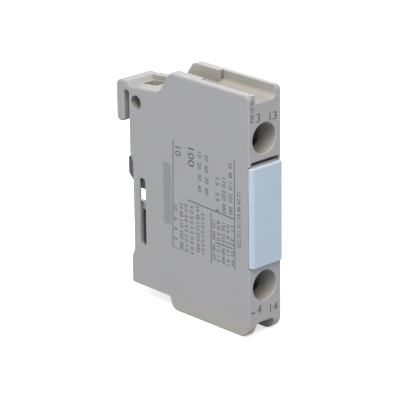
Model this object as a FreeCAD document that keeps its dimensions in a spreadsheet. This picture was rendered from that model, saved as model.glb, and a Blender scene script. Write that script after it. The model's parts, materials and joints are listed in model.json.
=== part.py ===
import FreeCAD, Part
import os
import Sketcher

# One-pole auxiliary contact block, in millimetres.
# X runs across the block from the printed side, Y from the front to the back, Z up.
# Every sub-part is drawn from the printed side, the front face and the bottom, and its
# Placement then moves it so that the origin lies under the middle of the whole block.

# A size in quotes follows from others, and the sheet works it out.
SIZES = [
    # Moulded case
    ("width", 10.0, "across the block, both side faces"),
    ("cover_thick", 1.0, "side cover plate"),
    ("far_wall", 1.4, "far side wall of the shell"),
    ("room_wide", "width - cover_thick - far_wall", "inside the case, across"),
    ("middle_x", "cover_thick + room_wide / 2", "printed side to the screws' and the slide's axes"),
    ("depth", 39.5, "front face to rear edge"),
    ("near_height", 57.35, "top edge of the printed side"),
    ("far_rise", 0.85, "how much the far wall stands above the printed side"),
    ("rear_rise", 1.25, "the same behind the ramp"),
    ("nose_round", 3.2, "front bottom corner, side view"),
    ("brow_round", 1.2, "front top corner, side view"),
    ("heel_start", 25.6, "end of the foot, side view"),
    ("heel_lean", 0.9, "how far the heel leans back"),
    ("heel_height", 3.0, "step up behind the foot"),
    ("heel_round", 2.2, "bottom corner of the heel"),
    ("waist_low", 9.4, "height where the rear edge steps in"),
    ("waist_slope", 2.3, "height of that sloping step"),
    ("waist_inset", 0.95, "how far the rear edge steps in"),
    ("waist_high", "tail_high - 1.6", "height where it steps out again"),
    ("ramp_top", 25.5, "distance from the front to the top of the ramp"),
    ("ramp_run", 3.6, "how far the ramp reaches back"),
    ("ramp_foot", "near_height - 5.25", "height of the platform under the ramp"),
    ("platform_end", "ramp_foot - 0.85", "height of the platform at the rear edge"),
    ("ramp_hollow", 3.2, "concave round under the ramp"),
    ("ramp_crest", 1.3, "convex round over the ramp"),
    # Rear hook
    ("hook_gap", 1.65, "slot between the rear edge and the hook"),
    ("hook_thick", 2.5, "finger of the hook"),
    ("hook_top", "platform_end + 1.05", "top of the hook"),
    ("hook_tip", "hook_top - 10.1", "lower end of the hook"),
    ("hook_roof", "hook_top - 2.2", "top of the slot behind the hook"),
    ("hook_round", 1.5, "top rear corner of the hook"),
    ("tip_round", 1.15, "lower end of the hook"),
    # Wire troughs at the top and the bottom
    ("trough_wall", "cover_thick + 0.9", "printed side to the trough"),
    ("trough_far", "width - 1.6", "printed side to the far face of the top trough"),
    ("trough_floor", "near_height - 2.15", "floor of the top trough"),
    ("trough_length", 17.0, "wide part of the top trough"),
    ("throat_near", "cover_thick + 2.0", "printed side to the narrow rear part"),
    ("throat_far", "width - 2.5", "printed side to the inside of the thick far wall"),
    ("corner_wide", 0.35, "groove where the throat meets the trough's far face"),
    ("corner_deep", 0.5, "depth of that groove"),
    ("trough_round", 1.3, "round along the trough's floor"),
    ("low_ceiling", 3.4, "ceiling of the bottom trough"),
    ("low_far", "width - 2.1", "printed side to the far face of the bottom trough"),
    # Front face
    ("bore_radius", "room_wide / 2 - 0.2", "screwdriver bore in the front"),
    ("bore_depth", 5.0, "length of that bore"),
    ("head_gap", 1.24, "bore to the screw's head"),
    ("bore_rim", 0.15, "chamfer round the bore"),
    ("seat_low", "lower_z + bore_radius + 1.2", "lower end of the cap's seat"),
    ("seat_high", "upper_z - bore_radius - pry_height - 1.25", "upper end of the cap's seat"),
    ("seat_depth", 0.4, "how deep the seat lies under the front face"),
    ("pry_height", 0.95, "pry slot above the cap"),
    ("pry_depth", 3.6, "depth of the pry slot"),
    ("pry_side", 0.65, "what is left at each side of the pry slot"),
    # Features of the printed side
    ("dowel_radius", 1.7, "cross hole for a dowel"),
    ("dowel_back", "depth - 2.55", "front face to the cross hole"),
    ("dowel_height", "platform_end - 3.45", "bottom to the cross hole"),
    ("slot_front", "depth - 5.3", "front edge of the side slot"),
    ("slot_wide", 2.0, "width of the side slot"),
    ("slot_low", "slot_high - 16.7", "lower end of the long slot"),
    ("slot_step", "slot_high - 5.4", "lower end of the slot's window"),
    ("slot_high", "slide_z - 0.3", "upper end of the slot's window"),
    ("slot_sunk", 2.4, "depth of the pit behind the long slot"),
    ("slot_bar", 0.35, "bar between the window and the long slot"),
    ("slot_skin", 0.5, "cover round the window"),
    ("slot_room", 0.35, "room round the window inside the cover"),
    # Recess in the rear platform
    ("well_near", "cover_thick + 2.7", "printed side to the recess"),
    ("well_front", "depth - 0.9 - well_length", "front face to the recess"),
    ("well_length", 4.5, "recess, front to back"),
    ("well_depth", 1.6, "depth of the recess"),
    # Terminals
    ("upper_z", "near_height - 10.55", "height of the upper screw"),
    ("lower_z", 12.0, "height of the lower screw"),
    ("bar_front", "bore_depth + head_gap + head_thick + washer_thick + clamp_thick + 2 * seat_gap",
     "front face to the terminal strips"),
    ("bar_thick", 1.0, "thickness of the strips"),
    ("bar_wide", "room_wide - 2.0", "width of the strips"),
    ("bar_end", 3.7, "strip beyond the screw axis"),
    ("thread_radius", 1.75, "screw thread, outside"),
    ("thread_clear", 0.05, "radial play of the thread"),
    ("shank_length", 8.8, "screw under its head"),
    ("head_radius", "bore_radius - 0.35", "screw head"),
    ("head_thick", 2.2, "screw head"),
    ("drive_deep", 1.2, "cross recess in the head"),
    ("drive_wide", 0.85, "width of that recess"),
    ("washer_radius", "head_radius - 0.3", "spring washer, outside"),
    ("washer_thick", 0.9, "spring washer"),
    ("clamp_side", "room_wide - 1.2", "square clamp washer"),
    ("clamp_thick", 1.0, "square clamp washer"),
    ("nut_side", "room_wide - 1.4", "square nut"),
    ("nut_thick", 2.5, "square nut"),
    ("seat_gap", 0.03, "play where a moving piece lies on another"),
    ("room_half", 5.6, "half height of the terminal rooms"),
    # Contacts
    ("slide_z", "(upper_z + lower_z) / 2 + 0.8", "height of the slide's axis"),
    ("contact_half", 6.3, "slide axis to each contact"),
    ("fixed_front", "room_rear - 0.7 - bar_thick - tip_thick", "front face to the fixed contacts"),
    ("tip_thick", 0.7, "contact rivet"),
    ("tip_radius", "bridge_wide / 2 - 0.35", "contact rivet"),
    ("upper_run", "slide_z + contact_half + 2.9", "underside of the upper strip's level part"),
    ("lower_run", "slide_z - contact_half - 2.9", "upper side of the lower strip's level part"),
    ("strip_end", 1.5, "strip beyond the centre of its contact"),
    ("bridge_thick", 0.8, "contact bridge"),
    ("bridge_wide", 3.2, "contact bridge"),
    ("bridge_end", 1.5, "bridge beyond the centre of its contact"),
    # Slide
    ("slide_half_x", "room_wide / 2 - slide_play", "half width of the slide's block"),
    ("slide_half_z", 3.5, "half height of the slide's block"),
    ("slide_play", 0.25, "room round the slide"),
    ("window_rail", "slide_half_x - bridge_wide / 2 - 0.1", "rail at each side of the bridge window"),
    ("window_front", "fixed_front - travel + give - tip_thick - bridge_thick - spring_space",
     "front face to the window"),
    ("slide_front", "window_front - 1.6", "front face to the slide"),
    ("block_end", "guide_front - return_space", "front face to the shoulder"),
    ("stem_half_x", 1.0, "half width of the stem"),
    ("stem_half_z", "sqrt((return_coil - return_wire / 2 - 0.09) ^ 2 - stem_half_x ^ 2)",
     "half height of the stem"),
    ("stem_end", "depth + 4.6", "front face to the end of the drive tab"),
    ("foot_drop", 1.8, "drive foot under the stem"),
    ("foot_start", "guide_front + guide_thick + 1.6", "front face to the drive foot"),
    ("travel", 3.0, "stroke of the slide"),
    ("give", 1.0, "last part of the stroke, with the contacts closed"),
    ("stem_play", 0.12, "room round the stem in its guide"),
    ("guide_front", "depth - guide_thick - rear_room", "front face to the stem's guide rib"),
    ("guide_thick", 1.0, "thickness of that rib"),
    ("rear_room", 5.1, "that rib to the rear edge"),
    ("flag_front", 0.1, "that rib to the flag behind the window"),
    ("flag_long", 2.7, "flag, front to back"),
    ("flag_gap", 0.1, "flag to the skin of the window"),
    ("flag_low", 3.1, "slide axis to the lower end of the flag"),
    # Springs
    ("contact_wire", 0.4, "wire of the contact spring"),
    ("contact_coil", "bridge_wide / 2 - contact_wire / 2 - 0.3", "mean radius of the contact spring"),
    ("return_wire", 0.45, "wire of the return spring"),
    ("return_coil", "min(slide_half_x; slide_half_z) - 0.4", "mean radius of the return spring"),
    ("spring_space", 4.7, "room for the contact spring"),
    ("return_space", 9.4, "room for the return spring"),
    # Rooms in the shell
    ("room_rear", "block_end - 0.4", "rear wall of the contact room"),
    ("tail_low", "slide_z - 7.5", "floor of the room behind the guide rib"),
    ("tail_high", "slide_z + 4.4", "ceiling of that room"),
    ("core_front", 2.4, "front wall behind the cap"),
    ("core_back", "slide_front - channel_ahead - channel_web", "rear side of the hollow behind the cap"),
    ("channel_web", 1.3, "web between that hollow and the slide's channel"),
    ("core_low", 2.4, "web between the cap's seat and that hollow, below"),
    ("core_high", 1.0, "web between the cap's seat and that hollow, above"),
    ("hollow_end", "guide_front - 1.0", "rear side of the two hollows behind the contacts"),
    ("upper_hollow_low", "slide_z + 8.0", "lower end of the upper one"),
    ("upper_hollow_high", "ramp_foot - 1.9", "upper end of the upper one"),
    ("lower_hollow_low", "heel_height + 1.6", "lower end of the lower one"),
    ("lower_hollow_high", "slide_z - 12.6", "upper end of the lower one"),
    ("hollow_web", 1.0, "web between the contact room and the two hollows"),
    ("tip_room_long", "shank_length + tip_play - 2 * seat_gap - washer_thick - clamp_thick - bar_thick - nut_thick",
     "room behind the nuts for the screws' ends"),
    ("tip_play", 1.66, "room behind the screws' ends"),
    ("tip_room_half", 2.2, "half height of that room"),
    ("strip_room", 0.15, "room round the strips and nuts"),
    ("channel_ahead", 1.9, "room in front of the slide"),
    ("socket_deep", 0.3, "pin sockets beyond the pins' ends"),
    ("wire_width", "room_wide / 2 - 0.5", "wire entries, across"),
    # Marking cap
    ("cap_proud", 0.9, "cap in front of the front face"),
    ("cap_play", 0.25, "room at each end of the cap"),
    ("cap_round", 1.1, "standing edges of the cap"),
    ("cap_bevel", 0.25, "bevel of the cap's rear edges, which leaves a fine groove"),
    ("leg_thick", 0.9, "snap legs of the cap"),
    ("leg_wide", 3.0, "snap legs of the cap"),
    ("leg_barb", 0.35, "barb on each snap leg"),
    ("leg_inset", 3.4, "end of the cap to each leg"),
    # Pins that join cover and shell
    ("pin_radius", 0.9, "moulded pins of the cover"),
    ("pin_length", 2.6, "moulded pins of the cover"),
    ("pin_play", 0.04, "radial play of the pins"),
    ("edge_soft", 0.4, "softened outline of both side faces"),
]

doc = FreeCAD.newDocument("auxiliary_contact_block")
sheet = doc.addObject("Spreadsheet::Sheet", "Sizes")


class Size:
    """A number together with the sheet expression that it comes from."""

    def __init__(self, number, text):
        self.number = number
        self.text = text

    def __add__(self, other):
        other = as_size(other)
        return Size(self.number + other.number, f"({self.text} + {other.text})")

    def __sub__(self, other):
        other = as_size(other)
        return Size(self.number - other.number, f"({self.text} - {other.text})")

    def __mul__(self, other):
        other = as_size(other)
        return Size(self.number * other.number, f"({self.text} * {other.text})")

    def __truediv__(self, other):
        other = as_size(other)
        return Size(self.number / other.number, f"({self.text} / {other.text})")

    def __radd__(self, other):
        return as_size(other) + self

    def __rsub__(self, other):
        return as_size(other) - self

    def __rmul__(self, other):
        return as_size(other) * self

    def __neg__(self):
        return as_size(0) - self


def as_size(item):
    """Give a plain number the same form as a sheet size."""
    return item if isinstance(item, Size) else Size(float(item), f"{float(item):.6f}")


def number(item):
    return as_size(item).number


def fill_sheet():
    """Write the sizes to the sheet and return them by name."""
    for row, (name, value, note) in enumerate(SIZES, start=1):
        sheet.set(f"A{row}", note)
        sheet.set(f"B{row}", "0")
        sheet.setAlias(f"B{row}", name)
    for row, (name, value, note) in enumerate(SIZES, start=1):
        sheet.set(f"B{row}", f"={value}")
    doc.recompute()
    return {name: Size(float(sheet.get(name)), f"Sizes.{name}") for name, value, note in SIZES}


S = fill_sheet()

# Places that several sub-parts share
far_face = S["width"] - S["far_wall"]
far_height = S["near_height"] + S["far_rise"]
hook_inner = S["depth"] + S["hook_gap"]
hook_back = hook_inner + S["hook_thick"]
origin_x = S["width"] / 2
origin_y = (S["stem_end"] - S["cap_proud"]) / 2
bar_back = S["bar_front"] + S["bar_thick"]
fixed_face = S["fixed_front"] + S["tip_thick"]
contact_gap = S["travel"] - S["give"]
bridge_back = S["fixed_front"] - contact_gap - S["tip_thick"]
bridge_front = bridge_back - S["bridge_thick"]
upper_contact = S["slide_z"] + S["contact_half"]
lower_contact = S["slide_z"] - S["contact_half"]
stem_top = S["slide_z"] + S["stem_half_z"]
stem_bottom = S["slide_z"] - S["stem_half_z"]
nut_back = bar_back + S["nut_thick"]
clamp_front = S["bar_front"] - S["seat_gap"] - S["clamp_thick"]
washer_front = clamp_front - S["washer_thick"]
thread_hole = S["thread_radius"] + S["thread_clear"]
screw_room_end = nut_back + S["tip_room_long"]
slot_back = S["slot_front"] + S["slot_wide"]
flag_high = S["slide_z"] + S["slot_room"]
well_far = S["throat_far"] - 0.1
cap_low = S["seat_low"] + S["cap_play"]
cap_high = S["seat_high"] - S["cap_play"]
leg_low = cap_low + S["leg_inset"]
leg_high = cap_high - S["leg_inset"]
over = 2.0

PLANES = {"x": "YZ_Plane", "y": "XZ_Plane", "z": "XY_Plane"}


def bind(item, prop, size):
    """Tie a property of an object to the sheet."""
    item.setExpression(prop, as_size(size).text)


def new_body(name, x=0.0, y=0.0, z=0.0):
    """Start a sub-part whose own zero lies at x, y, z from side, front and bottom."""
    body = doc.addObject("PartDesign::Body", name)
    body.Label = name
    bind(body, "Placement.Base.x", as_size(x) - origin_x)
    bind(body, "Placement.Base.y", as_size(y) - origin_y)
    bind(body, "Placement.Base.z", as_size(z))
    return body


def new_sketch(body, name, axis, level):
    """Place a sketch square to an axis, at a level along that axis."""
    sketch = body.newObject("Sketcher::SketchObject", name)
    for plane in body.Origin.OriginFeatures:
        if plane.Role == PLANES[axis]:
            sketch.AttachmentSupport = [(plane, "")]
    sketch.MapMode = "FlatFace"
    shift = -as_size(level) if axis == "y" else as_size(level)
    bind(sketch, "AttachmentOffset.Base.z", shift)
    return sketch


def place(sketch, kind, geometry, point, size):
    """Hold one coordinate of a point of the sketch at a sheet size."""
    rule = Sketcher.Constraint(kind, -1, 1, geometry, point, number(size))
    index = sketch.addConstraint(rule)
    sketch.setExpression(f"Constraints[{index}]", as_size(size).text)


def draw_polygon(sketch, corners):
    """Closed outline of straight lines through corners (u, v)."""
    count = len(corners)
    first = sketch.GeometryCount
    points = [FreeCAD.Vector(number(u), number(v), 0) for u, v in corners]
    for step in range(count):
        line = Part.LineSegment(points[step], points[(step + 1) % count])
        sketch.addGeometry(line, False)
    for step in range(count):
        after = first + (step + 1) % count
        sketch.addConstraint(Sketcher.Constraint("Coincident", first + step, 2, after, 1))
    for step, (u, v) in enumerate(corners):
        place(sketch, "DistanceX", first + step, 1, u)
        place(sketch, "DistanceY", first + step, 1, v)


def draw_circle(sketch, u, v, radius):
    """Circle with its centre at (u, v)."""
    centre = FreeCAD.Vector(number(u), number(v), 0)
    circle = Part.Circle(centre, FreeCAD.Vector(0, 0, 1), number(radius))
    geometry = sketch.addGeometry(circle, False)
    place(sketch, "DistanceX", geometry, 3, u)
    place(sketch, "DistanceY", geometry, 3, v)
    index = sketch.addConstraint(Sketcher.Constraint("Radius", geometry, number(radius)))
    sketch.setExpression(f"Constraints[{index}]", as_size(radius).text)


def box_corners(u0, u1, v0, v1):
    return [(u0, v0), (u1, v0), (u1, v1), (u0, v1)]


def extrude(body, name, axis, start, end, outlines, cut=False):
    """Pad or pocket the outlines from start to end along +axis."""
    before = body.Shape.Volume if body.Tip else 0.0
    sketch = new_sketch(body, f"{name}_sketch", axis, start)
    for outline in outlines:
        if len(outline) == 3:
            draw_circle(sketch, *outline)
        else:
            draw_polygon(sketch, outline)
    feature = body.newObject("PartDesign::Pocket" if cut else "PartDesign::Pad", name)
    feature.Profile = sketch
    feature.Reversed = (axis == "y") != cut
    bind(feature, "Length", as_size(end) - start)
    doc.recompute([sketch, feature, body])
    change = body.Shape.Volume - before
    if (change >= 0) if cut else (change <= 0):
        raise RuntimeError(f"{body.Label}: {name} changed nothing")
    return feature


def pocket(body, name, axis, start, end, outlines):
    return extrude(body, name, axis, start, end, outlines, cut=True)


def matches(edge, limits):
    """True if the edge's box lies inside the given limits of x, y and z."""
    box = edge.BoundBox
    spans = {"x": (box.XMin, box.XMax), "y": (box.YMin, box.YMax), "z": (box.ZMin, box.ZMax)}
    for axis, limit in limits.items():
        low, high = limit if isinstance(limit, tuple) else (limit, limit)
        if spans[axis][0] < number(low) - 0.01 or spans[axis][1] > number(high) + 0.01:
            return False
    return True


def soften(body, name, radius, picks, kind="Fillet"):
    """Round or chamfer the edges that lie inside any of the given limits."""
    shape = body.Tip.Shape
    names = []
    for index, edge in enumerate(shape.Edges, start=1):
        if any(matches(edge, limits) for limits in picks):
            names.append(f"Edge{index}")
    if not names:
        raise RuntimeError(f"{body.Label}: {name} found no edge")
    base = body.Tip
    feature = body.newObject(f"PartDesign::{kind}", name)
    feature.Base = (base, names)
    bind(feature, "Radius" if kind == "Fillet" else "Size", radius)
    doc.recompute([feature, body])
    return feature


def revolve(body, name, outline, cut=False):
    """Turn an outline (along Y, radius) about the body's own Y axis."""
    sketch = new_sketch(body, f"{name}_sketch", "x", 0.0)
    draw_polygon(sketch, outline)
    feature = body.newObject("PartDesign::Groove" if cut else "PartDesign::Revolution", name)
    feature.Profile = sketch
    feature.ReferenceAxis = (sketch, ["H_Axis"])
    feature.Angle = 360.0
    doc.recompute([sketch, feature, body])
    return feature


def side_outline(top, platform_lift, hook_height):
    """Outline of one side: foot, heel, waist, hook, platform, ramp and top edge."""
    waist = S["depth"] - S["waist_inset"]
    heel_end = S["heel_start"] + S["heel_lean"]
    return [
        (0.0, 0.0),
        (S["heel_start"], 0.0),
        (heel_end, S["heel_height"]),
        (S["depth"], S["heel_height"]),
        (S["depth"], S["waist_low"]),
        (waist, S["waist_low"] + S["waist_slope"]),
        (waist, S["waist_high"]),
        (S["depth"], S["waist_high"] + S["waist_slope"]),
        (S["depth"], S["hook_roof"]),
        (hook_inner, S["hook_roof"]),
        (hook_inner, S["hook_tip"]),
        (hook_back, S["hook_tip"]),
        (hook_back, hook_height),
        (S["depth"] + 0.4, hook_height),
        (S["depth"] - 0.6, S["platform_end"] + platform_lift),
        (S["ramp_top"] + S["ramp_run"], S["ramp_foot"] + platform_lift),
        (S["ramp_top"], top),
        (0.0, top),
    ]


def soften_outline(body, top, platform_lift, hook_height):
    """Round the corners of a side outline, on every edge that runs along X."""
    heel_end = S["heel_start"] + S["heel_lean"]
    soften(body, "nose_round", S["nose_round"], [{"y": 0.0, "z": 0.0}])
    soften(body, "brow_round", S["brow_round"], [{"y": 0.0, "z": top}])
    soften(body, "heel_round", S["heel_round"], [{"y": S["heel_start"], "z": 0.0}])
    soften(body, "hook_round", S["hook_round"], [{"y": hook_back, "z": hook_height}])
    soften(body, "tip_round", S["tip_round"], [
        {"y": hook_inner, "z": S["hook_tip"]},
        {"y": hook_back, "z": S["hook_tip"]},
        {"y": hook_inner, "z": S["hook_roof"]},
    ])
    soften(body, "ramp_hollow", S["ramp_hollow"], [
        {"y": S["ramp_top"] + S["ramp_run"], "z": S["ramp_foot"] + platform_lift},
    ])
    soften(body, "ramp_crest", S["ramp_crest"], [{"y": S["ramp_top"], "z": top}])
    soften(body, "rear_rounds", 0.6, [
        {"y": heel_end, "z": S["heel_height"]},
        {"y": S["depth"], "z": S["heel_height"]},
        {"y": S["depth"], "z": S["hook_roof"]},
    ])


def soften_rim(body, side, top):
    """Round the whole outline of one side face, but not its holes."""
    soften(body, "side_rim", S["edge_soft"], [
        {"x": side, "y": 0.0},
        {"x": side, "z": (S["hook_top"] - S["hook_round"] - 0.1, top)},
        {"x": side, "y": (S["depth"], hook_back), "z": (S["hook_tip"], S["hook_top"])},
        {"x": side, "y": (S["depth"] - S["waist_inset"], S["depth"])},
        {"x": side, "z": (0.0, S["heel_height"] + 0.7)},
    ])


def make_shell():
    """Moulded body: far wall, front, troughs, terminal rooms, slide guides and rear hook."""
    near = S["cover_thick"]
    lift = S["rear_rise"]
    hook_high = S["hook_top"]
    body = new_body("housing_shell")
    outline = side_outline(far_height, lift, hook_high)
    extrude(body, "block", "x", near, S["width"], [outline])
    soften_outline(body, far_height, lift, hook_high)

    # Everything inside the thick far wall comes down to the level of the printed side
    top = S["near_height"]
    pocket(body, "lower_top", "x", near, S["throat_far"], [[
        (-over, top),
        (S["ramp_top"], top),
        (S["ramp_top"] + S["ramp_run"], S["ramp_foot"]),
        (S["depth"] - 0.6, S["platform_end"]),
        (S["depth"] + 0.4, hook_high),
        (S["depth"] + 0.4, far_height + over),
        (-over, far_height + over),
    ]])
    pocket(body, "top_trough", "z", S["trough_floor"], far_height + over, [
        box_corners(S["trough_wall"], S["trough_far"], -over, S["trough_length"]),
    ])
    pocket(body, "top_throat", "z", S["trough_floor"], far_height + over, [
        box_corners(S["throat_near"], S["throat_far"], S["trough_length"] - 0.1,
                    S["ramp_top"] + S["ramp_run"]),
    ])
    pocket(body, "bottom_trough", "z", -over, S["low_ceiling"], [
        box_corners(S["trough_wall"], S["low_far"], -over, screw_room_end),
    ])
    soften(body, "trough_rounds", S["trough_round"], [
        {"x": S["trough_far"], "z": S["trough_floor"], "y": (-over, S["trough_length"])},
        {"x": S["low_far"], "z": S["low_ceiling"], "y": (-over, screw_room_end)},
        {"x": S["trough_wall"], "z": S["low_ceiling"], "y": (-over, screw_room_end)},
    ])
    pocket(body, "trough_corner", "z", S["trough_floor"], far_height + over, [
        box_corners(S["trough_far"] - 0.1, S["trough_far"] + S["corner_deep"],
                    S["trough_length"] - S["corner_wide"], S["trough_length"]),
    ])

    # Front face: bores, seat of the marking cap, pry slot and the hollow behind the cap
    for name, height in (("upper_bore", S["upper_z"]), ("lower_bore", S["lower_z"])):
        pocket(body, name, "y", 0.0, S["bore_depth"], [
            (S["middle_x"], height, S["bore_radius"]),
        ])
        soften(body, f"{name}_rim", S["bore_rim"], [{
            "y": 0.0,
            "x": (S["middle_x"] - S["bore_radius"], S["middle_x"] + S["bore_radius"]),
            "z": (height - S["bore_radius"], height + S["bore_radius"]),
        }], kind="Chamfer")
    pocket(body, "cap_seat", "y", -over, S["seat_depth"], [
        box_corners(near - over, S["width"] + over, S["seat_low"], S["seat_high"]),
    ])
    pocket(body, "pry_slot", "y", 0.0, S["pry_depth"], [
        box_corners(near - over, S["width"] - S["pry_side"],
                    S["seat_high"], S["seat_high"] + S["pry_height"]),
    ])
    pocket(body, "leg_slots", "y", S["seat_depth"], S["core_front"] + 0.1, [
        leg_slot(leg_low, 1), leg_slot(leg_high, -1),
    ])
    cut_rooms(body, near)
    cut_side_holes(body, near)
    soften_rim(body, S["width"], far_height)
    return body


def leg_slot(end, side):
    """Opening in the front wall for one snap leg; side points from the cap's end inwards."""
    half = S["leg_wide"] / 2 + S["cap_play"]
    centre = S["middle_x"]
    inner = end + (S["leg_thick"] + S["cap_play"]) * side
    outer = end - (S["leg_barb"] + S["cap_play"]) * side
    low, high = (outer, inner) if side > 0 else (inner, outer)
    return box_corners(centre - half, centre + half, low, high)


def cut_rooms(body, near):
    """Rooms that open towards the side cover."""
    play = S["slide_play"]
    slide_low = S["slide_z"] - S["slide_half_z"] - play
    slide_high = S["slide_z"] + S["slide_half_z"] + play
    strip_room = S["strip_room"]
    bar_room = (S["bar_front"] - strip_room, bar_back + strip_room)
    high_run = S["upper_run"] + S["bar_thick"] + strip_room
    low_run = S["lower_run"] - S["bar_thick"] - strip_room
    for name, height in (("upper", S["upper_z"]), ("lower", S["lower_z"])):
        low = height - S["room_half"]
        high = height + S["room_half"]
        pocket(body, f"{name}_room", "x", near, far_face, [
            box_corners(S["bore_depth"], nut_back + strip_room, low, high),
        ])
        pocket(body, f"{name}_tip_room", "x", near, far_face, [
            box_corners(nut_back, screw_room_end,
                        height - S["tip_room_half"], height + S["tip_room_half"]),
        ])
    pocket(body, "contact_room", "x", near, far_face, [
        box_corners(S["window_front"] + 0.6, S["room_rear"], low_run, high_run),
    ])
    pocket(body, "slide_channel", "x", near, far_face, [
        box_corners(S["slide_front"] - S["channel_ahead"], S["window_front"] + 0.7,
                    slide_low, slide_high),
    ])
    pocket(body, "spring_room", "x", near, far_face, [
        box_corners(S["room_rear"] - 0.1, S["guide_front"], slide_low, slide_high),
    ])
    pocket(body, "guide_window", "x", S["middle_x"] - S["stem_half_x"] - S["stem_play"],
           S["middle_x"] + S["stem_half_x"] + S["stem_play"], [
        box_corners(S["guide_front"] - 0.1, S["guide_front"] + S["guide_thick"] + 0.1,
                    stem_bottom - S["stem_play"], stem_top + S["stem_play"]),
    ])
    pocket(body, "guide_mouth", "x", near, S["middle_x"], [
        box_corners(S["guide_front"] - 0.1, S["guide_front"] + S["guide_thick"] + 0.1,
                    stem_bottom - S["stem_play"], stem_top + S["stem_play"]),
    ])
    pocket(body, "tail_room", "x", near, far_face, [
        box_corners(S["guide_front"] + S["guide_thick"], S["depth"] + over,
                    S["tail_low"], S["tail_high"]),
    ])
    pocket(body, "upper_strip_path", "x", near, far_face, [[
        (bar_room[0], S["upper_run"] - strip_room),
        (S["window_front"] + 0.7, S["upper_run"] - strip_room),
        (S["window_front"] + 0.7, high_run),
        (bar_room[1], high_run),
        (bar_room[1], S["upper_z"] - S["room_half"] + 0.1),
        (bar_room[0], S["upper_z"] - S["room_half"] + 0.1),
    ]])
    pocket(body, "lower_strip_path", "x", near, far_face, [[
        (bar_room[0], S["lower_z"] + S["room_half"] - 0.1),
        (bar_room[1], S["lower_z"] + S["room_half"] - 0.1),
        (bar_room[1], low_run),
        (S["window_front"] + 0.7, low_run),
        (S["window_front"] + 0.7, S["lower_run"] + strip_room),
        (bar_room[0], S["lower_run"] + strip_room),
    ]])
    pocket(body, "cap_hollow", "x", near, far_face, [
        box_corners(S["core_front"], S["core_back"],
                    S["seat_low"] + S["core_low"], S["seat_high"] - S["core_high"]),
    ])
    pocket(body, "upper_core", "x", near, far_face, [
        box_corners(S["room_rear"] + S["hollow_web"], S["hollow_end"],
                    S["upper_hollow_low"], S["upper_hollow_high"]),
    ])
    pocket(body, "lower_core", "x", near, far_face, [
        box_corners(S["room_rear"] + S["hollow_web"], S["hollow_end"],
                    S["lower_hollow_low"], S["lower_hollow_high"]),
    ])
    # Wire entries from both troughs into the terminal rooms, beside the screws
    wire_side = S["trough_wall"] + 0.1
    wire = box_corners(wire_side, wire_side + S["wire_width"], S["bore_depth"] + 0.6, S["bar_front"])
    pocket(body, "upper_wire_entry", "z", S["upper_z"] + S["room_half"] - 0.1,
           S["trough_floor"] + 0.1, [wire])
    pocket(body, "lower_wire_entry", "z", S["low_ceiling"] - 0.1,
           S["lower_z"] - S["room_half"] + 0.1, [wire])


def cut_side_holes(body, near):
    """Cross hole, recess in the platform and sockets for the cover's pins."""
    pocket(body, "dowel_hole", "x", near - over, S["width"] + over, [
        (S["dowel_back"], S["dowel_height"], S["dowel_radius"]),
    ])
    pocket(body, "well", "z", S["platform_end"] - S["well_depth"], far_height, [
        box_corners(S["well_near"], well_far, S["well_front"],
                    S["well_front"] + S["well_length"]),
    ])
    soften(body, "well_rounds", 0.7, [
        {"x": x, "y": y, "z": (S["platform_end"] - S["well_depth"], far_height)}
        for x in (S["well_near"], well_far)
        for y in (S["well_front"], S["well_front"] + S["well_length"])
    ])
    pocket(body, "slot_pit", "x", near, near + S["slot_sunk"], [
        box_corners(S["slot_front"] - S["slot_room"], slot_back + 1.0,
                    S["slot_low"] - S["slot_room"], S["tail_low"] - 0.8),
    ])
    pocket(body, "pin_sockets", "x", near, near + S["pin_length"] + S["socket_deep"], [
        (y, z, S["pin_radius"] + S["pin_play"]) for y, z in pin_places()
    ])


def pin_places():
    """Where the cover's pins stand, as (from the front, from the bottom)."""
    return [
        (S["guide_front"] + 2.2, S["lower_hollow_low"] + 2.4),
        (screw_room_end + 1.6, S["upper_z"] - 2.0),
        (screw_room_end + 1.6, S["lower_z"] + 1.6),
    ]


def make_cover():
    """Printed side plate with its cross hole, its slot and three joining pins."""
    body = new_body("side_cover")
    thick = S["cover_thick"]
    outline = side_outline(S["near_height"], as_size(0.0), S["hook_top"])
    extrude(body, "plate", "x", 0.0, thick, [outline])
    soften_outline(body, S["near_height"], as_size(0.0), S["hook_top"])
    pocket(body, "cap_seat", "y", -over, S["seat_depth"], [
        box_corners(-over, thick + over, S["seat_low"], S["seat_high"]),
    ])
    pocket(body, "pry_slot", "y", 0.0, S["pry_depth"], [
        box_corners(S["pry_side"], thick + over,
                    S["seat_high"], S["seat_high"] + S["pry_height"]),
    ])
    pocket(body, "dowel_hole", "x", -over, thick + over, [
        (S["dowel_back"], S["dowel_height"], S["dowel_radius"]),
    ])
    pocket(body, "window_relief", "x", S["slot_skin"], thick + over, [
        box_corners(S["slot_front"] - S["slot_room"], S["depth"] + over,
                    S["slot_step"] - S["slot_room"], flag_high + S["slot_room"]),
    ])
    bar_low = S["slot_step"] - S["slot_bar"]
    pocket(body, "slots", "x", -over, thick + over, [
        box_corners(S["slot_front"], slot_back, S["slot_low"], bar_low),
        box_corners(S["slot_front"], slot_back, S["slot_step"], S["slot_high"]),
    ])
    soften(body, "slot_ends", S["slot_wide"] / 2 - 0.15, [
        {"y": y, "z": z}
        for y in (S["slot_front"], slot_back)
        for z in (S["slot_low"], S["slot_high"])
    ])
    extrude(body, "pins", "x", thick, thick + S["pin_length"], [
        (y, z, S["pin_radius"]) for y, z in pin_places()
    ])
    soften_rim(body, as_size(0.0), S["near_height"])
    return body


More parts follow.
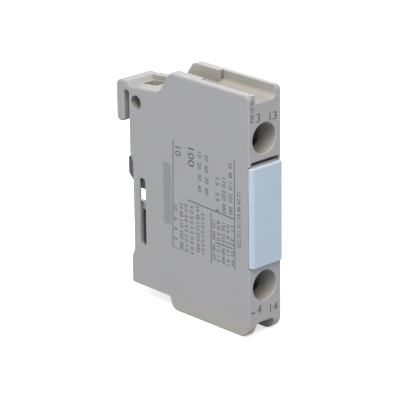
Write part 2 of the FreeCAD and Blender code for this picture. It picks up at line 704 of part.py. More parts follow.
def make_cap():
    """Marking cap: a rounded plate with two snap legs that grip behind the front wall."""
    body = new_body("marking_cap")
    front = -S["cap_proud"]
    back = S["seat_depth"]
    extrude(body, "plate", "y", front, back, [
        box_corners(0.0, S["width"], cap_low, cap_high),
    ])
    soften(body, "standing_rounds", S["cap_round"], [
        {"x": x, "y": front, "z": (cap_low, cap_high)} for x in (0.0, S["width"])
    ])
    soften(body, "end_rounds", 0.3, [
        {"y": front, "z": z, "x": (0.0, S["width"])} for z in (cap_low, cap_high)
    ])
    soften(body, "rear_bevels", S["cap_bevel"], [
        {"x": x, "y": back, "z": (cap_low, cap_high)} for x in (0.0, S["width"])
    ], kind="Chamfer")
    half = S["leg_wide"] / 2
    reach = S["core_front"] + 1.2
    for name, end, side in (("lower_leg", leg_low, 1), ("upper_leg", leg_high, -1)):
        grip = S["core_front"] + 0.1
        extrude(body, name, "x", S["middle_x"] - half, S["middle_x"] + half, [[
            (back - 0.05, end),
            (back - 0.05, end + S["leg_thick"] * side),
            (reach, end + S["leg_thick"] * side),
            (grip, end - S["leg_barb"] * side),
            (grip, end),
        ]])
    return body


def make_slide():
    """Sliding contact carrier: block with the bridge window, stem and drive tab."""
    body = new_body("contact_carrier", S["middle_x"], 0.0, S["slide_z"])
    half_x = S["slide_half_x"]
    half_z = S["slide_half_z"]
    extrude(body, "block", "x", -half_x, half_x, [
        box_corners(S["slide_front"], S["block_end"], -half_z, half_z),
    ])
    stem = S["stem_half_z"]
    foot_slope = 2.4
    extrude(body, "stem", "x", -S["stem_half_x"], S["stem_half_x"], [[
        (S["block_end"] - 0.1, -stem),
        (S["foot_start"], -stem),
        (S["foot_start"] + 0.8, -stem - S["foot_drop"]),
        (S["stem_end"] - 2.4, -stem - S["foot_drop"]),
        (S["stem_end"], -stem - S["foot_drop"] + foot_slope),
        (S["stem_end"], stem - 0.8),
        (S["stem_end"] - 0.8, stem),
        (S["block_end"] - 0.1, stem),
    ]])
    flag_start = S["guide_front"] + S["guide_thick"] + S["flag_front"]
    extrude(body, "flag", "x", S["slot_skin"] + S["flag_gap"] - S["middle_x"], 0.0, [
        box_corners(flag_start, flag_start + S["flag_long"],
                    -S["flag_low"], S["slot_room"]),
    ])
    rail = S["window_rail"]
    pocket(body, "window", "z", -half_z - over, half_z + over, [
        box_corners(-half_x + rail, half_x - rail, S["window_front"], bridge_back),
    ])
    extrude(body, "spring_post", "y", S["window_front"] - 0.1, S["window_front"] + 0.9, [
        (as_size(0.0), as_size(0.0), S["contact_coil"] - S["contact_wire"] / 2 - 0.1),
    ])
    soften(body, "block_rounds", 0.4, [
        {"x": x, "y": (S["slide_front"], S["block_end"]), "z": z}
        for x in (-half_x, half_x) for z in (-half_z, half_z)
    ])
    return body


def make_bridge():
    """Contact bridge: a strip with a pressed seat for its spring."""
    body = new_body("contact_bridge", S["middle_x"], 0.0, S["slide_z"])
    half = S["contact_half"] + S["bridge_end"]
    back = bridge_back - S["seat_gap"]
    extrude(body, "strip", "z", -half, half, [
        box_corners(-S["bridge_wide"] / 2, S["bridge_wide"] / 2, bridge_front, back),
    ])
    soften(body, "ends", 0.7, [
        {"x": x, "y": (bridge_front, back), "z": z}
        for x in (-S["bridge_wide"] / 2, S["bridge_wide"] / 2) for z in (-half, half)
    ])
    extrude(body, "spring_seat", "y", bridge_front - 0.5, bridge_front + 0.1, [
        (as_size(0.0), as_size(0.0), S["contact_coil"] - S["contact_wire"] / 2 - 0.1),
    ])
    return body


def make_tip(name, height, front):
    """Contact rivet head with a softened rim, between front and front + tip_thick."""
    body = new_body(name, S["middle_x"], front, height)
    revolve(body, "head", [
        (0.0, 0.0),
        (0.0, S["tip_radius"]),
        (S["tip_thick"], S["tip_radius"]),
        (S["tip_thick"], 0.0),
    ])
    return body


def make_strip(name, height, contact, run, inward):
    """Terminal strip: screw end, level run and contact end; inward is -1 above, 1 below."""
    body = new_body(name, S["middle_x"])
    thick = S["bar_thick"]
    free_end = height - S["bar_end"] * inward
    run_outer = run - thick * inward
    contact_end = contact + S["strip_end"] * inward
    strip_back = fixed_face + thick
    extrude(body, "bent_strip", "x", -S["bar_wide"] / 2, S["bar_wide"] / 2, [[
        (S["bar_front"], free_end),
        (bar_back, free_end),
        (bar_back, run_outer),
        (strip_back, run_outer),
        (strip_back, contact_end),
        (fixed_face, contact_end),
        (fixed_face, run),
        (S["bar_front"], run),
    ]])
    soften(body, "outer_bends", thick * 1.2, [
        {"y": S["bar_front"], "z": run},
        {"y": strip_back, "z": run_outer},
    ])
    soften(body, "inner_bends", thick * 0.4, [
        {"y": bar_back, "z": run_outer},
        {"y": fixed_face, "z": run},
    ])
    pocket(body, "thread", "y", S["bar_front"] - over, bar_back + 0.5, [
        (as_size(0.0), height, thread_hole),
    ])
    return body


def make_screw(name, height):
    """Terminal screw: cheese head with a cross recess, shank with a blunt end."""
    body = new_body(name, S["middle_x"], washer_front - S["seat_gap"], height)
    head = S["head_thick"]
    end = S["shank_length"]
    revolve(body, "turned", [
        (-head, 0.0),
        (-head, S["head_radius"] - 0.3),
        (-head + 0.3, S["head_radius"]),
        (0.0, S["head_radius"]),
        (0.0, S["thread_radius"]),
        (end - 0.6, S["thread_radius"]),
        (end, S["thread_radius"] - 0.6),
        (end, 0.0),
    ])
    half = S["drive_wide"] / 2
    long = S["head_radius"] * 0.62
    pocket(body, "drive_slot", "y", -head - 0.1, -head + S["drive_deep"], [
        box_corners(-long, long, -half, half),
    ])
    pocket(body, "drive_cross", "y", -head - 0.1, -head + S["drive_deep"], [
        box_corners(-half, half, -long, long),
    ])
    return body


def make_washer(name, height):
    """Spring washer: a ring with a slit."""
    body = new_body(name, S["middle_x"], washer_front, height)
    inner = S["thread_radius"] + 0.1
    revolve(body, "ring", [
        (0.0, inner),
        (0.0, S["washer_radius"]),
        (S["washer_thick"], S["washer_radius"]),
        (S["washer_thick"], inner),
    ])
    pocket(body, "slit", "y", -over, S["washer_thick"] + over, [
        box_corners(-0.25, 0.25, inner - 0.5, S["washer_radius"] + 0.5),
    ])
    return body


def make_clamp(name, height):
    """Square clamp washer with its round hole."""
    body = new_body(name, S["middle_x"], clamp_front, height)
    half = S["clamp_side"] / 2
    extrude(body, "plate", "y", 0.0, S["clamp_thick"], [
        box_corners(-half, half, -half, half),
    ])
    soften(body, "corners", 0.6, [
        {"x": x, "y": (0.0, S["clamp_thick"]), "z": z}
        for x in (-half, half) for z in (-half, half)
    ])
    pocket(body, "hole", "y", -over, S["clamp_thick"] + over, [
        (as_size(0.0), as_size(0.0), S["thread_radius"] + 0.1),
    ])
    return body


def make_nut(name, height):
    """Square nut behind the strip."""
    body = new_body(name, S["middle_x"], bar_back, height)
    half = S["nut_side"] / 2
    extrude(body, "block", "y", 0.0, S["nut_thick"], [box_corners(-half, half, -half, half)])
    pocket(body, "thread", "y", -over, S["nut_thick"] + over, [
        (as_size(0.0), as_size(0.0), thread_hole),
    ])
    return body


def make_spring(name, wire, coil, length, turns, front):
    """Helical spring along Y that fills length from front."""
    helix = doc.addObject("Part::Helix", f"{name}_line")
    bind(helix, "Height", length - wire)
    bind(helix, "Pitch", (length - wire) / turns)
    bind(helix, "Radius", coil)
    helix.SegmentLength = 1.0
    section = doc.addObject("Part::Circle", f"{name}_section")
    bind(section, "Radius", wire / 2)
    section.Placement.Rotation = FreeCAD.Rotation(FreeCAD.Vector(1, 0, 0), 90)
    bind(section, "Placement.Base.x", coil)
    spring = doc.addObject("Part::Sweep", name)
    spring.Sections = [section]
    spring.Spine = (helix, [])
    spring.Solid = True
    spring.Frenet = True
    spring.Label = name
    spring.Placement.Rotation = FreeCAD.Rotation(FreeCAD.Vector(1, 0, 0), -90)
    bind(spring, "Placement.Base.x", S["middle_x"] - origin_x)
    bind(spring, "Placement.Base.y", front + wire / 2 - origin_y)
    bind(spring, "Placement.Base.z", S["slide_z"])
    return spring


def make_terminal(side, height, contact, run, inward):
    """The six pieces of one terminal and its fixed contact."""
    return [
        make_strip(f"{side}_terminal_bar", height, contact, run, inward),
        make_screw(f"{side}_terminal_screw", height),
        make_washer(f"{side}_spring_washer", height),
        make_clamp(f"{side}_clamp_washer", height),
        make_nut(f"{side}_terminal_nut", height),
        make_tip(f"{side}_fixed_tip", contact, S["fixed_front"]),
        make_tip(f"{side}_bridge_tip", contact, bridge_back - S["seat_gap"]),
    ]


def main():
    parts = [make_shell(), make_cover(), make_cap(), make_slide(), make_bridge()]
    parts += make_terminal("upper", S["upper_z"], upper_contact, S["upper_run"], -1)
    parts += make_terminal("lower", S["lower_z"], lower_contact, S["lower_run"], 1)
    parts.append(make_spring("contact_spring", S["contact_wire"], S["contact_coil"],
                             bridge_front - S["window_front"] - 0.06, 5, S["window_front"] + 0.03))
    parts.append(make_spring("return_spring", S["return_wire"], S["return_coil"],
                             S["guide_front"] - S["block_end"] - 0.06, 5, S["block_end"] + 0.03))
    doc.recompute()
    for item in doc.Objects:
        if "Invalid" in item.State or "Error" in item.State:
            raise RuntimeError(f"{item.Label} failed: {item.State}")
    os.makedirs("parts", exist_ok=True)
    for part in parts:
        shape = part.Shape
        if shape.isNull() or not shape.isValid():
            raise RuntimeError(f"{part.Label} has no valid shape")
        shape.exportStep(f"parts/{part.Label}.step")
        print(part.Label, len(shape.Solids), round(shape.Volume, 2))


main()
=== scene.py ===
"""Looks of a slim auxiliary contact block: its case, print, screws, springs and contacts."""

import json
import math

import bmesh
import bpy
import numpy as np
from mathutils import Matrix, Vector


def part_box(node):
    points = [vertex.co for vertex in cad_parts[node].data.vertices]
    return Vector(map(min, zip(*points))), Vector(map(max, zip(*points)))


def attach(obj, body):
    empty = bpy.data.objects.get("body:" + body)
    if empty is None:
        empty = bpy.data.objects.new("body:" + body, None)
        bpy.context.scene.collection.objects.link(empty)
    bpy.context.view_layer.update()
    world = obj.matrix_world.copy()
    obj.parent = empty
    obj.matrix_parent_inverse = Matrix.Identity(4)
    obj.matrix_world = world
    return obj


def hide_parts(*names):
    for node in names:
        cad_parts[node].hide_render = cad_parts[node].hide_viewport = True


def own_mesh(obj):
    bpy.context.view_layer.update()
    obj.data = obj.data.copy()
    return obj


bl_info = {
    "name": "Auxiliary contact block",
    "version": (1, 0, 0),
    "blender": (4, 5, 0),
    "location": "3D View > Sidebar > Block",
    "description": "Finishes, print, threads and springs of a one-pole contact block",
    "category": "Object",
}

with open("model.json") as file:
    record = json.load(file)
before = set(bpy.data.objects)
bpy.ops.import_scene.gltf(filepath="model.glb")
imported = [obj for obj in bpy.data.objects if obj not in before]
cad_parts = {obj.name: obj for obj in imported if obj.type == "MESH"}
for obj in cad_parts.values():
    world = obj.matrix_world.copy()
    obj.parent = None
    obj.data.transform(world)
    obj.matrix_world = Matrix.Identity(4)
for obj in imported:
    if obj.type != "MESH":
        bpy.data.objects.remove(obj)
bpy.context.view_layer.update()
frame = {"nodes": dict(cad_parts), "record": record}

MM = 0.001

# Where the printed side, the front face and the foot of the block are
PRINTED_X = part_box("side_cover")[0].x
FRONT_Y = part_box("housing_shell")[0].y
BOTTOM_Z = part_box("housing_shell")[0].z

# A Mix node's two colour inputs and its colour output, counted over its hidden sockets
MIX_FIRST, MIX_SECOND, MIX_COLOUR = 6, 7, 2


# Shader maths

class Value:
    """A number that varies over a surface. Arithmetic on it adds the Math nodes."""

    def __init__(self, tree, socket):
        self.tree = tree
        self.socket = socket

    def join(self, operation, first, second):
        return add_node(self.tree, "Math", {"operation": operation}, {0: first, 1: second})[0]

    def __add__(self, other):
        return self.join("ADD", self, other)

    def __radd__(self, other):
        return self.join("ADD", other, self)

    def __sub__(self, other):
        return self.join("SUBTRACT", self, other)

    def __rsub__(self, other):
        return self.join("SUBTRACT", other, self)

    def __mul__(self, other):
        return self.join("MULTIPLY", self, other)

    def __rmul__(self, other):
        return self.join("MULTIPLY", other, self)

    def least(self, other):
        """The smaller of the two."""
        return self.join("MINIMUM", self, other)

    def most(self, other):
        """The larger of the two."""
        return self.join("MAXIMUM", self, other)

    def held(self):
        """The value kept between 0 and 1."""
        return self.least(1.0).most(0.0)

    def swing(self, share):
        """Noise, which lies about a half, as a change of share about nothing."""
        return (self - 0.5) * share


class Finish:
    """One material and the nodes that make it."""

    BEVEL_SAMPLES = 6
    SKY_SAMPLES = 8
    # How soon the turn of a rounded normal counts as a full edge
    EDGE_GAIN = 6.0

    def __init__(self, name):
        self.material = bpy.data.materials.new(name)
        self.material.use_nodes = True
        self.tree = self.material.node_tree
        self.tree.nodes.clear()

    def node(self, kind, settings=None, sockets=None):
        """Add a node: its settings first, then the values or links of its sockets."""
        return add_node(self.tree, kind, settings, sockets)

    def place(self):
        """Where a spot is in its object's own coordinates."""
        return self.node("TexCoord")["Object"]

    def noise(self, size, detail=2.0, stretch=(1.0, 1.0, 1.0)):
        """Noise whose features are about size metres wide, drawn out by stretch."""
        scaled = tuple(1.0 / (size * long) for long in stretch)
        spot = self.node("Mapping", None, {"Vector": self.place(), "Scale": scaled})["Vector"]
        return self.node("TexNoise", None, {
            "Vector": spot, "Scale": 1.0, "Detail": detail,
        })["Fac"]

    def rounded(self, radius):
        """Normal that rounds the edges over radius metres."""
        return self.node("Bevel", {"samples": self.BEVEL_SAMPLES}, {"Radius": radius})["Normal"]

    def edge(self, radius):
        """1 along edges and 0 on flat faces: how far the rounded normal leaves the face's own."""
        face = self.node("NewGeometry")["Normal"]
        match = self.node("VectorMath", {"operation": "DOT_PRODUCT"},
                          {0: self.rounded(radius), 1: face})["Value"]
        return ((1.0 - match) * self.EDGE_GAIN).held()

    def closed(self, reach):
        """0 in the open and 1 in a narrow hole: how much of the sky is hidden within reach."""
        return 1.0 - self.node("AmbientOcclusion", {"samples": self.SKY_SAMPLES},
                               {"Distance": reach})["AO"]

    def shade(self, colour, tone):
        """The colour times a varying tone."""
        base = colour if isinstance(colour, Value) else tuple(colour)
        return self.node("VectorMath", {"operation": "SCALE"}, {0: base, "Scale": tone})["Vector"]

    def blend(self, factor, first, second):
        """The first colour where factor is 0 and the second where it is 1."""
        colours = {}
        for socket, item in ((MIX_FIRST, first), (MIX_SECOND, second)):
            colours[socket] = item if isinstance(item, Value) else (*item, 1.0)
        return self.node("Mix", {"data_type": "RGBA"}, {0: factor, **colours})[MIX_COLOUR]

    def bump(self, height, depth, normal=None):
        """Normal of a relief that is depth metres deep, on top of another normal."""
        sockets = {"Height": height, "Distance": depth}
        if normal is not None:
            sockets["Normal"] = normal
        return self.node("Bump", None, sockets)["Normal"]

    def surface(self, **sockets):
        """Close the material with one Principled shader. Names are the sockets' names."""
        named = {name.replace("_", " "): item for name, item in sockets.items()}
        shader = self.node("BsdfPrincipled", None, named)["BSDF"]
        self.node("OutputMaterial", None, {"Surface": shader})
        return self.material


class Outlets:
    """The outputs of a node, by name or number."""

    def __init__(self, tree, node):
        self.tree = tree
        self.node = node

    def __getitem__(self, key):
        return Value(self.tree, self.node.outputs[key])


def add_node(tree, kind, settings=None, sockets=None):
    """Add a shader node to a tree, with its settings and the values or links of its sockets."""
    node = tree.nodes.new("ShaderNode" + kind)
    for name, item in (settings or {}).items():
        setattr(node, name, item)
    for name, item in (sockets or {}).items():
        if isinstance(item, Value):
            tree.links.new(item.socket, node.inputs[name])
        else:
            node.inputs[name].default_value = item
    return Outlets(tree, node)


def seen_rays(tree):
    """1 for the rays that show a background: from the camera, off a mirror or through glass."""
    ray = add_node(tree, "LightPath")
    return ray["Is Camera Ray"].most(ray["Is Glossy Ray"]).most(ray["Is Transmission Ray"])


# Finishes

# How far a spot of the plastic looks for the sky, and from which hidden share of it, and how
# soon, two painted tints take over: a paler warm one that stands for bounce light in troughs, and
# a dark warm one that is painted shade in holes
SKY_REACH = 8 * MM
BOUNCE_FROM, BOUNCE_GAIN = 0.1, 3.5
SHADE_FROM, SHADE_GAIN = 0.42, 2.2

# Rounding of the bare metal's edges, and how much of the metal is stained
METAL_EDGE = 0.1 * MM
STAIN_GAIN, STAIN_FROM = 1.6, 0.45


def moulded(name, colour, rim, inside, hollow_shade, grain, roughness, round_over):
    """Moulded plastic: faint flow clouds, a fine spark-eroded grain, and edges lighter as wear
    and as a painted highlight.

    It takes the inside colour where part of the sky is hidden, as in a trough: a paler, warmer
    tint that is painted bounce light. In its holes it takes a dark warm colour, which is painted
    shade. Its edges take the rim colour, which on the cap is a near-white painted highlight.
    """
    finish = Finish(name)
    closed = finish.closed(SKY_REACH)
    # Painted light: where part of the sky is hidden the plastic takes a paler warm tint that
    # stands for bounce light, and in holes a dark tint that stands for shade
    painted_bounce = ((closed - BOUNCE_FROM) * BOUNCE_GAIN).held()
    painted_shade = ((closed - SHADE_FROM) * SHADE_GAIN).held()
    cloud = finish.noise(9 * MM, detail=3.0)
    speck = finish.noise(0.17 * MM)
    fleck = finish.noise(0.7 * MM)
    # Edge mask, for wear and for a painted highlight along the rounded edges
    edge_wear_and_highlight = finish.edge(round_over * 2)
    # Painted bounce light in troughs, then painted shade in holes
    body = finish.blend(painted_bounce, tuple(colour), tuple(inside))
    body = finish.blend(painted_shade, body, tuple(hollow_shade))
    # Painted highlight, partly wear: the edges take the rim colour
    body = finish.blend(edge_wear_and_highlight, body, tuple(rim))
    tone = 1.0 + cloud.swing(0.10) + speck.swing(0.10 * grain) + fleck.swing(0.05)
    height = speck * grain + fleck * (0.5 * grain)
    return finish.surface(
        # The edges are a tenth lighter: wear and a painted highlight
        Base_Color=finish.shade(body, tone + edge_wear_and_highlight * 0.10),
        Roughness=roughness + cloud.swing(0.12) + fleck.swing(0.10) - edge_wear_and_highlight * 0.12,
        Normal=finish.bump(height, 0.012 * MM, finish.rounded(round_over)),
        IOR=1.5,
    )


def rolled(name, colour, stain, stretch, roughness):
    """Bare metal: long rolling or drawing lines, stained in patches, and brighter at its edges as
    wear and as a painted highlight.
    """
    finish = Finish(name)
    lines = finish.noise(0.06 * MM, detail=3.0, stretch=stretch)
    patch = finish.noise(2.2 * MM, detail=3.0)
    # Lighter edges: wear and a painted highlight
    edge_wear_and_highlight = finish.edge(METAL_EDGE * 2)
    stained = (patch * STAIN_GAIN - STAIN_FROM).held()
    base = finish.blend(stained, tuple(colour), tuple(stain))
    return finish.surface(
        Base_Color=finish.shade(base, 1.0 + lines.swing(0.12) + edge_wear_and_highlight * 0.15),
        Metallic=1.0,
        Roughness=roughness + lines.swing(0.22) + patch.swing(0.15) - edge_wear_and_highlight * 0.08,
        Normal=finish.bump(lines, 0.003 * MM, finish.rounded(METAL_EDGE)),
    )


def printed(name, colour, uneven):
    """Pad-printed ink: a dry film whose tone is uneven by the given share."""
    finish = Finish(name)
    patch = finish.noise(0.5 * MM)
    pores = finish.noise(0.09 * MM)
    return finish.surface(
        Base_Color=finish.shade(colour, 1.0 + patch.swing(uneven)),
        Roughness=0.55 + pores.swing(0.20),
        Normal=finish.bump(pores, 0.004 * MM),
    )


# Surfaces

# Springs: rings to each turn and sides to the wire, the rise of a closed turn in wires, and
# the share of an end turn that stays closed before the rise begins
TURN_RINGS, WIRE_SIDES = 40, 14
CLOSED_RISE = 1.06
CLOSED_SHARE = 0.6

# Threads: rows to each pitch and sides to the screw, and the shares of the ridge's wave that
# are its flat root and its flank
PITCH_ROWS, SCREW_SIDES = 14, 48
ROOT_FLAT, FLANK = 0.12, 0.7

# Print: points to each rounded corner and sides to the dot, and how near two points of a
# figure's outline are when they are one, against a figure's height
CORNER_POINTS, DOT_SIDES = 7, 20
FIGURE_SEAM = 0.00001

# How near two points of a solid are when they are one
SOLID_SEAM = 0.001 * MM


def grid_faces(rows, columns):
    """Quads of a grid of rows whose columns close on themselves."""
    row, column = np.meshgrid(np.arange(rows - 1), np.arange(columns), indexing="ij")
    beside = (column + 1) % columns
    quads = np.stack([
        row * columns + column,
        row * columns + beside,
        (row + 1) * columns + beside,
        (row + 1) * columns + column,
    ], axis=-1)
    return quads.reshape(-1, 4)


def closed_grid(points):
    """Vertices and faces of rings (rows, columns, 3) whose two ends close in a pole each."""
    rows, columns, _ = points.shape
    count = rows * columns
    poles = np.array([points[0].mean(0), points[-1].mean(0)])
    column = np.arange(columns)
    beside = (column + 1) % columns
    first = np.stack([beside, column, np.full(columns, count)], axis=1)
    last_row = (rows - 1) * columns
    last = np.stack([last_row + column, last_row + beside, np.full(columns, count + 1)], axis=1)
    faces = grid_faces(rows, columns).tolist() + first.tolist() + last.tolist()
    return np.concatenate([points.reshape(-1, 3), poles]), faces


def coil(wire, radius, length, turns, centre, front):
    """Compression spring along Y with closed ends.

    The line's angle grows evenly. Its rise per turn is a little over one wire in the end
    turns and larger between them, blended by a smooth step. A ring of the wire is the line's
    point plus half the wire times cos a of the outward way and sin a of the way across it.
    """
    rings = int(turns * TURN_RINGS)
    share = np.linspace(0.0, 1.0, rings)
    angle = 2 * math.pi * turns * share
    from_end = np.minimum(share, 1.0 - share) * turns
    open_share = np.clip(from_end - CLOSED_SHARE, 0.0, 1.0)
    smooth = open_share * open_share * (3.0 - 2.0 * open_share)
    closed = CLOSED_RISE * wire * turns
    spare = (length - wire - closed) / smooth.mean()
    rate = closed + spare * smooth
    rise = np.concatenate([[0.0], np.cumsum((rate[1:] + rate[:-1]) / 2)]) / (rings - 1)
    rise = rise * (length - wire) / rise[-1]
    out = np.stack([np.cos(angle), np.zeros(rings), np.sin(angle)], axis=1)
    line = radius * out + np.stack([np.zeros(rings), wire / 2 + rise, np.zeros(rings)], axis=1)
    ahead = np.gradient(line, axis=0)
    ahead /= np.linalg.norm(ahead, axis=1, keepdims=True)
    across = np.cross(ahead, out)
    turn = np.linspace(0.0, 2 * math.pi, WIRE_SIDES, endpoint=False)
    points = line[:, None] + wire / 2 * (
        np.cos(turn)[None, :, None] * out[:, None] + np.sin(turn)[None, :, None] * across[:, None]
    )
    return closed_grid(points + np.array([centre[0], front, centre[1]]))


def thread(core, outside, pitch, start, end, chamfer, centre):
    """Right-hand screw thread along Y.

    The radius at angle t and place y is the core plus a ridge, whose phase is y over the
    pitch less t over a full turn, flattened at its crest and its root, and it never passes
    the chamfer at the end.
    """
    rows = int((end - start) / pitch * PITCH_ROWS)
    along = np.linspace(start, end, rows)
    turn = np.linspace(0.0, 2 * math.pi, SCREW_SIDES, endpoint=False)
    phase = along[:, None] / pitch - turn[None, :] / (2 * math.pi)
    wave = np.abs(2.0 * (phase - np.floor(phase)) - 1.0)
    ridge = np.clip((wave - ROOT_FLAT) / FLANK, 0.0, 1.0)
    fade = np.clip((along - start) / pitch, 0.0, 1.0)[:, None]
    radius = core + (outside - core) * ridge * fade
    radius = np.minimum(radius, outside - np.clip(along - (end - chamfer), 0.0, None)[:, None])
    points = np.stack([
        centre[0] + radius * np.sin(turn),
        np.broadcast_to(along[:, None], radius.shape),
        centre[1] + radius * np.cos(turn),
    ], axis=-1)
    return closed_grid(points)


def slab(corners, low, high):
    """Flat plate: an outline of (u, v) corners between two heights."""
    corners = np.asarray(corners, float)
    count = len(corners)
    points = np.concatenate([
        np.c_[corners, np.full(count, low)],
        np.c_[corners, np.full(count, high)],
    ])
    here = np.arange(count)
    beside = (here + 1) % count
    sides = np.stack([here, beside, beside + count, here + count], axis=1).tolist()
    return points, [here[::-1].tolist(), (here + count).tolist()] + sides


def rule(start, end, wide, low, high):
    """Straight printed line: each end goes half the width to either side, across its way."""
    start, end = np.asarray(start, float), np.asarray(end, float)
    way = (end - start) / np.linalg.norm(end - start)
    side = np.array([-way[1], way[0]]) * wide / 2
    return slab([start - side, end - side, end + side, start + side], low, high)


def round_box(first, last, radius):
    """Outline of a rectangle between two corners.

    Each of its corners is a quarter of a circle: a centre that lies the radius inside both
    edges, plus the radius times (cos a, sin a).
    """
    first, last = np.asarray(first), np.asarray(last)
    turn = np.linspace(0.0, math.pi / 2, CORNER_POINTS)
    outline = []
    for quarter, way in enumerate(((1, 1), (-1, 1), (-1, -1), (1, -1))):
        centre = np.where(np.array(way) > 0, last - radius, first + radius)
        angle = turn + quarter * math.pi / 2
        outline.append(centre + radius * np.stack([np.cos(angle), np.sin(angle)], axis=1))
    return np.concatenate(outline)


def taken(shape):
    """Vertices and faces of a bmesh whose faces are turned outwards. The bmesh is freed."""
    bmesh.ops.recalc_face_normals(shape, faces=shape.faces)
    shape.verts.index_update()
    points = np.array([vertex.co for vertex in shape.verts])
    faces = [[vertex.index for vertex in face.verts] for face in shape.faces]
    shape.free()
    return points, faces


def numbers(text, low, high):
    """Solid figures of a text as vertices (u, v, height) and faces, one unit tall.

    The font's outlines are drawn out to both sides. What lies over their plane goes to the
    high level and the rest to the low one.
    """
    curve = bpy.data.curves.new("figures", "FONT")
    curve.body = text
    curve.resolution_u = 3
    curve.extrude = 0.5
    holder = bpy.data.objects.new("figures", curve)
    bpy.context.scene.collection.objects.link(holder)
    graph = bpy.context.evaluated_depsgraph_get()
    mesh = bpy.data.meshes.new_from_object(holder.evaluated_get(graph))
    bpy.data.objects.remove(holder)
    bpy.data.curves.remove(curve)
    shape = bmesh.new()
    shape.from_mesh(mesh)
    bpy.data.meshes.remove(mesh)
    bmesh.ops.remove_doubles(shape, verts=shape.verts, dist=FIGURE_SEAM)
    points, faces = taken(shape)
    points[:, :2] -= points[:, :2].min(0)
    points[:, :2] /= points[:, 1].max()
    points[:, 2] = np.where(points[:, 2] > 0.0, high, low)
    return points, faces


def gather(pieces):
    """Many (vertices, faces) as one."""
    points, faces, before = [], [], 0
    for some, sides in pieces:
        points.append(some)
        faces += [[corner + before for corner in side] for side in sides]
        before += len(some)
    return np.concatenate(points), faces


def put(name, points, faces, finish, smooth=False):
    """A new object at the origin with its place in its mesh."""
    mesh = bpy.data.meshes.new(name)
    mesh.from_pydata(points.tolist(), [], faces)
    mesh.validate()
    mesh.polygons.foreach_set("use_smooth", np.full(len(mesh.polygons), smooth))
    mesh.materials.append(finish)
    made = bpy.data.objects.new(name, mesh)
    bpy.context.scene.collection.objects.link(made)
    return made


def dress(slot, finish):
    """Give every CAD node of a material slot its finish."""
    for item in frame["record"]["subparts"]:
        if item["material_slot"] == slot:
            for place in frame["nodes"][item["node"]].material_slots:
                place.link = "OBJECT"
                place.material = finish


# Sizes and colours that a user may change

def colour(name, description, default):
    return bpy.props.FloatVectorProperty(
        name=name, description=description, default=default, size=3, min=0.0, max=1.0,
        subtype="COLOR")


def length(name, description, default):
    return bpy.props.FloatProperty(
        name=name, description=description, default=default, min=0.0, precision=5,
        subtype="DISTANCE", unit="LENGTH")


class BlockColours(bpy.types.PropertyGroup):
    """Colours of the plastics, the metals and the inks"""
    case: colour("Case", "Moulded case and side cover", (0.404, 0.399, 0.422))
    # Painted light: the inside colour is a paler warm tint that stands for bounce light in
    # troughs, and the next one is a dark warm tint that is painted shade in holes
    inside: colour("Inside", "Case plastic in its troughs", (0.435, 0.417, 0.382))
    hollow_shade: colour("Hollow", "Case plastic inside its holes", (0.285, 0.265, 0.230))
    cap: colour("Cap", "Marking cap on the front", (0.50, 0.605, 0.745))
    # Painted highlight: a near-white colour along the cap's rounded edges
    rim: colour("Cap edges", "Edges of the marking cap", (0.84, 0.82, 0.83))
    slide: colour("Slide", "Moulded slide with the drive tab", (0.030, 0.050, 0.068))
    copper: colour("Copper", "Contact bridge", (0.78, 0.42, 0.28))
    brass: colour("Brass", "Terminal strips", (0.74, 0.55, 0.24))
    steel: colour("Plated steel", "Screws, clamp washers and nuts", (0.62, 0.64, 0.66))
    spring: colour("Spring steel", "Springs and spring washers", (0.33, 0.33, 0.34))
    silver: colour("Silver", "Contact rivets", (0.80, 0.79, 0.76))
    ink: colour("Ink", "Rules and figures", (0.055, 0.057, 0.064))
    band: colour("Band", "Plain printed band", (0.30, 0.30, 0.325))


class BlockPrint(bpy.types.PropertyGroup):
    """Sizes of the print"""
    film: length("Film", "How far the ink stands above the plastic", 0.012 * MM)
    line: length("Line", "Width of the printed rules", 0.22 * MM)


class BlockSprings(bpy.types.PropertyGroup):
    """Wire and turns of the two springs"""
    contact_wire: length("Contact wire", "Wire of the contact spring", 0.4 * MM)
    return_wire: length("Return wire", "Wire of the return spring", 0.45 * MM)
    contact_turns: bpy.props.FloatProperty(
        name="Contact turns", description="Turns of the contact spring", default=5.5, min=3.0)
    return_turns: bpy.props.FloatProperty(
        name="Return turns", description="Turns of the return spring", default=8.0, min=3.0)


class BlockScrews(bpy.types.PropertyGroup):
    """Sizes of the two terminal screws"""
    outside: length("Outside", "Radius over the thread", 1.75 * MM)
    core: length("Core", "Radius of the thread's root", 1.42 * MM)
    pitch: length("Pitch", "Rise of the thread for each turn", 0.6 * MM)
    head: length("Head", "Thickness of the screw's head", 2.2 * MM)


class BlockStage(bpy.types.PropertyGroup):
    """Strengths of the lights and of the floor"""
    sky: bpy.props.FloatProperty(
        name="Sky", description="Strength of the even light", default=0.42, min=0.0)
    key: bpy.props.FloatProperty(
        name="Key", description="Power of the large lamp above", default=9.6, min=0.0,
        unit="POWER")
    fill: bpy.props.FloatProperty(
        name="Fill", description="Power of the cool lamp at the printed side", default=2.0,
        min=0.0, unit="POWER")
    rear: bpy.props.FloatProperty(
        name="Rear", description="Power of the lamp behind the far side", default=4.0, min=0.0,
        unit="POWER")
    floor: bpy.props.FloatProperty(
        name="Floor", description="How light the floor is", default=0.82, min=0.0, max=1.0,
        subtype="FACTOR")


